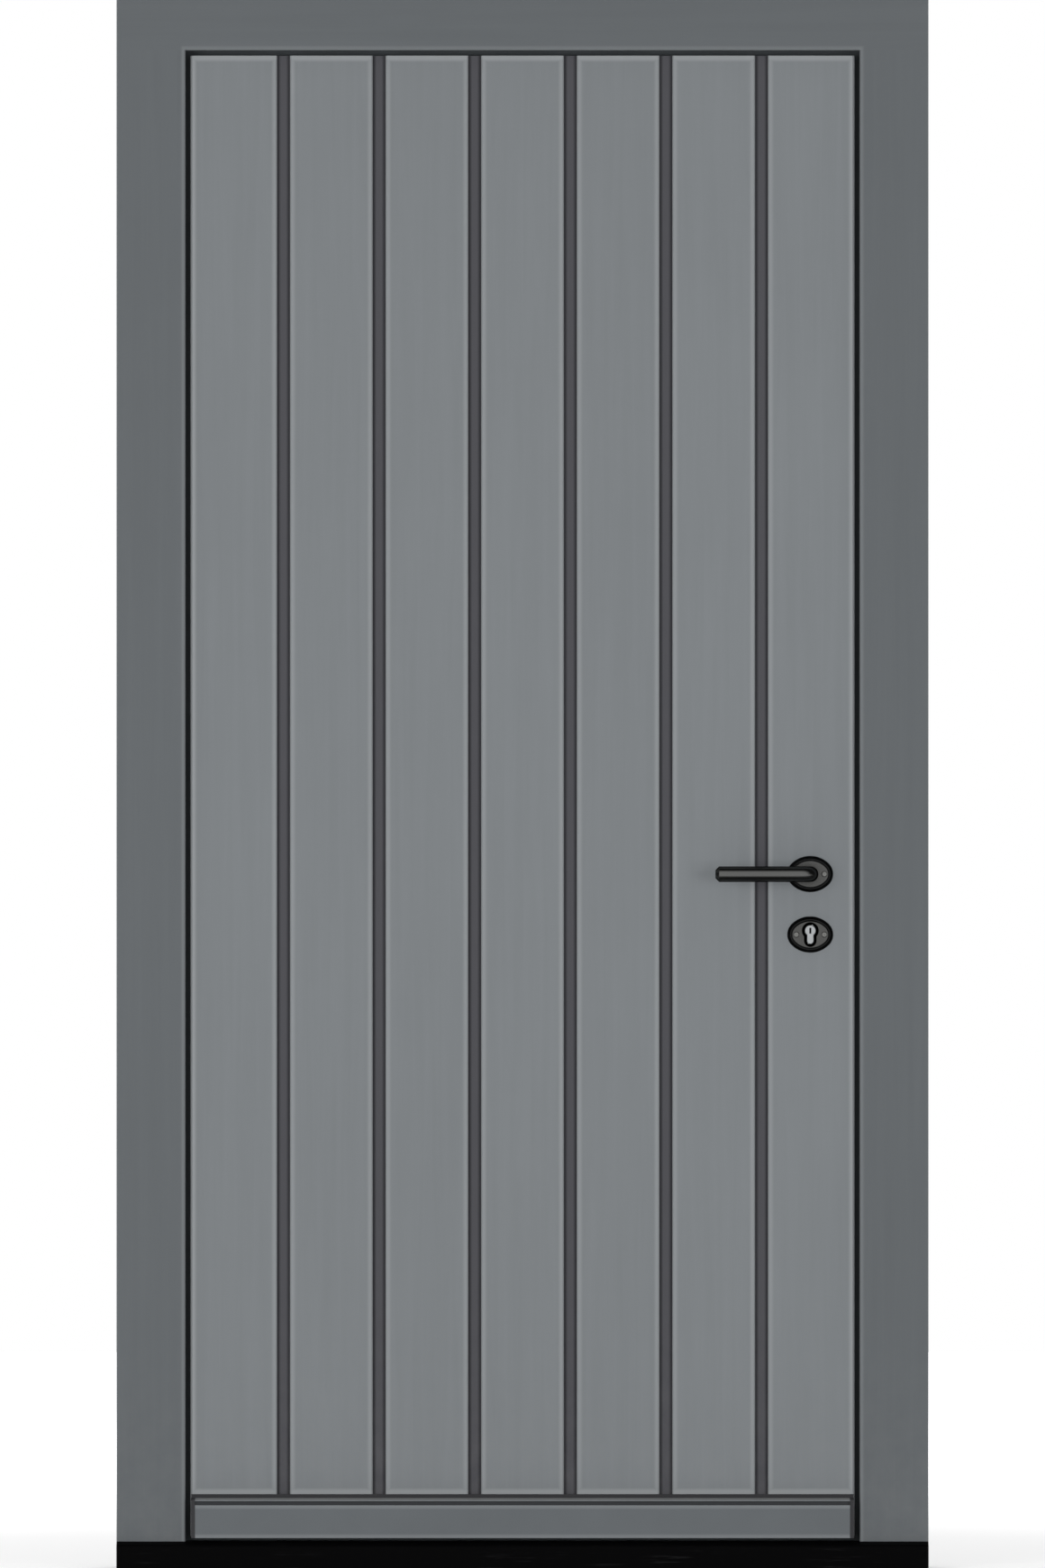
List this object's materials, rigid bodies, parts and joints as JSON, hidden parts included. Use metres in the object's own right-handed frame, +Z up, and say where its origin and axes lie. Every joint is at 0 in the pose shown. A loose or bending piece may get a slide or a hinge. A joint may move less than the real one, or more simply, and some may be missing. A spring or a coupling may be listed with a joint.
{
  "type": "entrance door",
  "caption": "Boarded timber entrance door in a rebated frame with a black threshold, weather bar, lever handle, key cylinder and pin hinges; the leaf swings inward.",
  "frame": {"origin": "on the underside of the threshold, midway between the jambs and midway through the frame's depth", "axes": "+X to the lock side as seen from outside, -Y to the outside, +Z up"},
  "size_m": [1.1, 0.187, 2.126],
  "materials": {
    "frame_paint": "satin paint on timber, dark grey",
    "bar_paint": "satin paint on an aluminium extrusion, dark grey",
    "board_paint": "satin paint on timber boards, mid grey",
    "edge_paint": "satin paint on the leaf's timber edges, dark grey",
    "core_foam": "rigid insulating board, bare",
    "threshold_black": "black, fine grained",
    "cap_black": "moulded black plastic",
    "seal_rubber": "black rubber",
    "hinge_steel": "dull zinc-plated steel",
    "lock_steel": "brushed steel",
    "cylinder_nickel": "satin nickel plating on brass",
    "handle_black": "satin black coating on cast aluminium"
  },
  "bodies": {
    "frame": {"left_jamb": "frame_paint", "right_jamb": "frame_paint", "head": "frame_paint", "threshold": "threshold_black", "frame_seal": "seal_rubber", "strike_plate": "lock_steel", "lower_hinge_frame_plate": "hinge_steel", "lower_hinge_pin": "hinge_steel", "middle_hinge_frame_plate": "hinge_steel", "middle_hinge_pin": "hinge_steel", "upper_hinge_frame_plate": "hinge_steel", "upper_hinge_pin": "hinge_steel"},
    "leaf": {"board_1": "board_paint", "board_2": "board_paint", "board_3": "board_paint", "board_4": "board_paint", "board_5": "board_paint", "board_6": "board_paint", "board_7": "board_paint", "inner_boards": "board_paint", "hinge_stile": "edge_paint", "lock_stile": "edge_paint", "top_rail": "edge_paint", "bottom_rail": "edge_paint", "core_panel": "core_foam", "weather_bar": "bar_paint", "left_bar_cap": "cap_black", "right_bar_cap": "cap_black", "mortise_lock": "lock_steel", "latch_bolt": "lock_steel", "deadbolt": "lock_steel", "key_cylinder": "cylinder_nickel", "outer_lever_rose": "handle_black", "inner_lever_rose": "handle_black", "outer_cylinder_rose": "handle_black", "inner_cylinder_rose": "handle_black", "lower_hinge_leaf_plate": "hinge_steel", "middle_hinge_leaf_plate": "hinge_steel", "upper_hinge_leaf_plate": "hinge_steel"},
    "lever": {"outer_lever": "handle_black", "inner_lever": "handle_black", "spindle": "lock_steel"}
  },
  "joints": [
    {"name": "leaf_swing", "type": "hinge", "parent": "frame", "child": "leaf", "pos_m": [-0.4735, 0.057, 1.057], "axis": [0, 0, 1], "range_deg": [0, 110]},
    {"name": "lever_turn", "type": "hinge", "parent": "leaf", "child": "lever", "pos_m": [0.39, 0.006, 0.941], "axis": [0, -1, 0], "range_deg": [0, 40], "stiffness_Nm_per_rad": 1, "springref_deg": -34.38}
  ]
}
